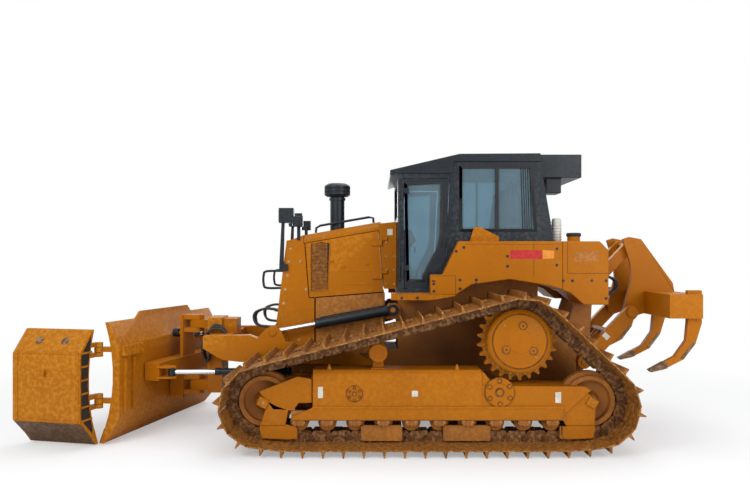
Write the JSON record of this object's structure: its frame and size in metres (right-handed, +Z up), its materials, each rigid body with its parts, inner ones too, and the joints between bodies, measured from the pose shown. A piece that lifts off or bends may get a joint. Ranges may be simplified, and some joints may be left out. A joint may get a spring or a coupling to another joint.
{
  "type": "bulldozer",
  "caption": "Crawler bulldozer with raised drive sprockets, wide tracks, a cab, a folding angled blade on a C-shaped frame and a multi-shank rear ripper.",
  "frame": {"origin": "on the ground below the middle of the whole machine’s bounding box", "axes": "+X forward, towards the blade; +Y to the operator’s left; +Z up"},
  "size_m": [7.3232, 3.3918, 3.168],
  "materials": {
    "yellow_paint": "satin yellow-orange paint, lightly worn",
    "frame_paint": "the same paint, dusty and worn",
    "track_steel": "dull brown steel",
    "black_paint": "satin black paint",
    "chrome_rod": "polished",
    "tinted_glass": "dark tinted glass",
    "seat_frame": "black moulded plastic",
    "seat_cloth": "dark woven cloth"
  },
  "bodies": {
    "chassis": {"main_frame": "frame_paint", "engine_block": "black_paint", "radiator_guard": "yellow_paint", "hood": "yellow_paint", "hood_handrail": "black_paint", "intake_stack": "black_paint", "light_post_left": "black_paint", "light_post_right": "black_paint", "cab_shell": "black_paint", "cab_roof": "black_paint", "windscreen": "tinted_glass", "rear_window": "tinted_glass", "side_window_left": "tinted_glass", "side_window_right": "tinted_glass", "operator_seat": "seat_frame", "seat_cushion": "seat_cloth", "control_console": "seat_frame", "air_conditioner": "black_paint", "fender_left": "yellow_paint", "fender_right": "yellow_paint", "fuel_tank": "yellow_paint", "track_frame_left": "yellow_paint", "track_frame_right": "yellow_paint", "track_rollers_left": "frame_paint", "track_rollers_right": "frame_paint", "track_left": "track_steel", "track_right": "track_steel"},
    "cab_door_left": {"cab_door_left": "black_paint", "door_glass_left": "tinted_glass"},
    "cab_door_right": {"cab_door_right": "black_paint", "door_glass_right": "tinted_glass"},
    "engine_door_left": {"engine_door_left": "yellow_paint"},
    "engine_door_right": {"engine_door_right": "yellow_paint"},
    "sprocket_left": {"sprocket_left": "frame_paint"},
    "sprocket_right": {"sprocket_right": "frame_paint"},
    "front_idler_left": {"front_idler_left": "frame_paint"},
    "front_idler_right": {"front_idler_right": "frame_paint"},
    "rear_idler_left": {"rear_idler_left": "frame_paint"},
    "rear_idler_right": {"rear_idler_right": "frame_paint"},
    "lift_barrel_left": {"lift_barrel_left": "black_paint"},
    "lift_barrel_right": {"lift_barrel_right": "black_paint"},
    "lift_rod_left": {"lift_rod_left": "chrome_rod"},
    "lift_rod_right": {"lift_rod_right": "chrome_rod"},
    "angle_barrel_left": {"angle_barrel_left": "black_paint"},
    "angle_barrel_right": {"angle_barrel_right": "black_paint"},
    "angle_rod_left": {"angle_rod_left": "chrome_rod"},
    "angle_rod_right": {"angle_rod_right": "chrome_rod"},
    "wing_left": {"wing_left": "yellow_paint"},
    "wing_right": {"wing_right": "yellow_paint"},
    "c_frame": {"c_frame": "yellow_paint"},
    "blade_yoke": {"blade_yoke": "yellow_paint"},
    "blade": {"blade": "yellow_paint"},
    "tilt_barrel": {"tilt_barrel": "black_paint"},
    "tilt_rod": {"tilt_rod": "chrome_rod"},
    "ripper_lower_link": {"ripper_lower_link": "yellow_paint"},
    "ripper_upper_link": {"ripper_upper_link": "yellow_paint"},
    "ripper_beam": {"ripper_beam": "yellow_paint"},
    "ripper_barrel": {"ripper_barrel": "black_paint"},
    "ripper_rod": {"ripper_rod": "chrome_rod"}
  },
  "joints": [
    {"name": "blade_lift", "type": "hinge", "parent": "chassis", "child": "c_frame", "pos_m": [-0.36963, 0.09545, 0.62], "axis": [0, -1, 0], "range_deg": [-10.5, 23]},
    {"name": "lift_barrel_left", "type": "hinge", "parent": "chassis", "child": "lift_barrel_left", "pos_m": [-0.34963, 0.68045, 1.412], "axis": [0, -1, 0], "range_deg": [-10.6, 23]},
    {"name": "lift_rod_left", "type": "slide", "parent": "lift_barrel_left", "child": "lift_rod_left", "axis": [0.9834, 0, -0.1813], "range_m": [-0.32, 0.15]},
    {"name": "lift_barrel_right", "type": "hinge", "parent": "chassis", "child": "lift_barrel_right", "pos_m": [-0.34963, -0.48955, 1.412], "axis": [0, -1, 0], "range_deg": [-10.6, 23]},
    {"name": "lift_rod_right", "type": "slide", "parent": "lift_barrel_right", "child": "lift_rod_right", "axis": [0.9834, 0, -0.1813], "range_m": [-0.32, 0.15]},
    {"name": "blade_angle", "type": "hinge", "parent": "c_frame", "child": "blade_yoke", "pos_m": [2.00737, 0.09545, 0.715], "axis": [0, 0, 1], "range_deg": [-11.5, 37.5]},
    {"name": "angle_barrel_left", "type": "hinge", "parent": "c_frame", "child": "angle_barrel_left", "pos_m": [0.86037, 0.65545, 0.715], "axis": [0, 0, 1], "range_deg": [-1, 2]},
    {"name": "angle_rod_left", "type": "slide", "parent": "angle_barrel_left", "child": "angle_rod_left", "axis": [0.9981, 0.0621, 0], "range_m": [-0.43, 0.14]},
    {"name": "angle_barrel_right", "type": "hinge", "parent": "c_frame", "child": "angle_barrel_right", "pos_m": [0.86037, -0.46455, 0.715], "axis": [0, 0, 1], "range_deg": [-1, 2]},
    {"name": "angle_rod_right", "type": "slide", "parent": "angle_barrel_right", "child": "angle_rod_right", "axis": [0.9973, -0.0738, 0], "range_m": [-0.14, 0.43]},
    {"name": "blade_tilt", "type": "hinge", "parent": "blade_yoke", "child": "blade", "pos_m": [2.00737, 0.09545, 0.55], "axis": [0.9744, -0.225, 0], "range_deg": [-9, 9]},
    {"name": "tilt_barrel", "type": "hinge", "parent": "blade_yoke", "child": "tilt_barrel", "pos_m": [2.24423, 0.1434, 1.1], "axis": [0.9744, -0.225, 0], "range_deg": [-7.2, 7.2]},
    {"name": "tilt_rod", "type": "slide", "parent": "tilt_barrel", "child": "tilt_rod", "axis": [-0.2236, -0.9684, -0.1104], "range_m": [-0.09, 0.09]},
    {"name": "wing_fold_left", "type": "hinge", "parent": "blade", "child": "wing_left", "pos_m": [2.80902, 1.14502, 0.745], "axis": [0, 0, 1], "range_deg": [0, 90]},
    {"name": "wing_fold_right", "type": "hinge", "parent": "blade", "child": "wing_right", "pos_m": [2.26779, -1.19932, 0.745], "axis": [0, 0, -1], "range_deg": [0, 90]},
    {"name": "ripper_lift", "type": "hinge", "parent": "chassis", "child": "ripper_lower_link", "pos_m": [-2.56963, 0.09545, 0.79], "axis": [0, -1, 0], "range_deg": [0, 84.5]},
    {"name": "ripper_beam_pivot", "type": "hinge", "parent": "ripper_lower_link", "child": "ripper_beam", "pos_m": [-3.12031, 0.09545, 1.3703], "axis": [0, -1, 0], "range_deg": [-86, 1]},
    {"name": "ripper_upper_pivot", "type": "hinge", "parent": "chassis", "child": "ripper_upper_link", "pos_m": [-2.61663, 0.09545, 1.57], "axis": [0, -1, 0], "range_deg": [-1, 86]},
    {"name": "ripper_barrel_pivot", "type": "hinge", "parent": "chassis", "child": "ripper_barrel", "pos_m": [-2.61963, 0.09545, 1.8], "axis": [0, -1, 0], "range_deg": [-3, 1]},
    {"name": "ripper_rod", "type": "slide", "parent": "ripper_barrel", "child": "ripper_rod", "axis": [-0.1458, 0, -0.9893], "range_m": [-0.01, 0.36]},
    {"name": "cab_door_left", "type": "hinge", "parent": "chassis", "child": "cab_door_left", "pos_m": [-0.44463, 0.91145, 2.2], "axis": [0, 0, -1], "range_deg": [0, 90]},
    {"name": "engine_door_left", "type": "hinge", "parent": "chassis", "child": "engine_door_left", "pos_m": [-0.21963, 0.57945, 1.95], "axis": [0, 0, 1], "range_deg": [0, 100]},
    {"name": "sprocket_left", "type": "hinge", "parent": "chassis", "child": "sprocket_left", "pos_m": [-1.64363, 1.23845, 1.135], "axis": [0, 1, 0], "continuous": true},
    {"name": "front_idler_left", "type": "hinge", "parent": "chassis", "child": "front_idler_left", "pos_m": [1.01037, 1.23845, 0.505], "axis": [0, 1, 0], "continuous": true},
    {"name": "rear_idler_left", "type": "hinge", "parent": "chassis", "child": "rear_idler_left", "pos_m": [-2.38963, 1.23845, 0.505], "axis": [0, 1, 0], "continuous": true},
    {"name": "cab_door_right", "type": "hinge", "parent": "chassis", "child": "cab_door_right", "pos_m": [-0.44463, -0.72055, 2.2], "axis": [0, 0, 1], "range_deg": [0, 90]},
    {"name": "engine_door_right", "type": "hinge", "parent": "chassis", "child": "engine_door_right", "pos_m": [-0.21963, -0.38855, 1.95], "axis": [0, 0, -1], "range_deg": [0, 100]},
    {"name": "sprocket_right", "type": "hinge", "parent": "chassis", "child": "sprocket_right", "pos_m": [-1.64363, -1.04755, 1.135], "axis": [0, 1, 0], "continuous": true},
    {"name": "front_idler_right", "type": "hinge", "parent": "chassis", "child": "front_idler_right", "pos_m": [1.01037, -1.04755, 0.505], "axis": [0, 1, 0], "continuous": true},
    {"name": "rear_idler_right", "type": "hinge", "parent": "chassis", "child": "rear_idler_right", "pos_m": [-2.38963, -1.04755, 0.505], "axis": [0, 1, 0], "continuous": true}
  ],
  "couplings": [
    {"joint": "lift_barrel_left", "follows": "blade_lift", "ratio": 0.988},
    {"joint": "lift_rod_left", "follows": "blade_lift", "m_per_rad": -0.787},
    {"joint": "lift_barrel_right", "follows": "blade_lift", "ratio": 0.988},
    {"joint": "lift_rod_right", "follows": "blade_lift", "m_per_rad": -0.787},
    {"joint": "angle_barrel_left", "follows": "blade_angle", "ratio": 0.0127},
    {"joint": "angle_rod_left", "follows": "blade_angle", "m_per_rad": -0.6434},
    {"joint": "angle_barrel_right", "follows": "blade_angle", "ratio": 0.0272},
    {"joint": "angle_rod_right", "follows": "blade_angle", "m_per_rad": 0.6433},
    {"joint": "tilt_barrel", "follows": "blade_tilt", "ratio": 0.7816},
    {"joint": "tilt_rod", "follows": "blade_tilt", "m_per_rad": 0.5349},
    {"joint": "ripper_beam_pivot", "follows": "ripper_lift", "ratio": -1},
    {"joint": "ripper_upper_pivot", "follows": "ripper_lift", "ratio": 1},
    {"joint": "ripper_barrel_pivot", "follows": "ripper_lift", "ratio": -0.0252},
    {"joint": "ripper_rod", "follows": "ripper_lift", "m_per_rad": 0.2331}
  ]
}
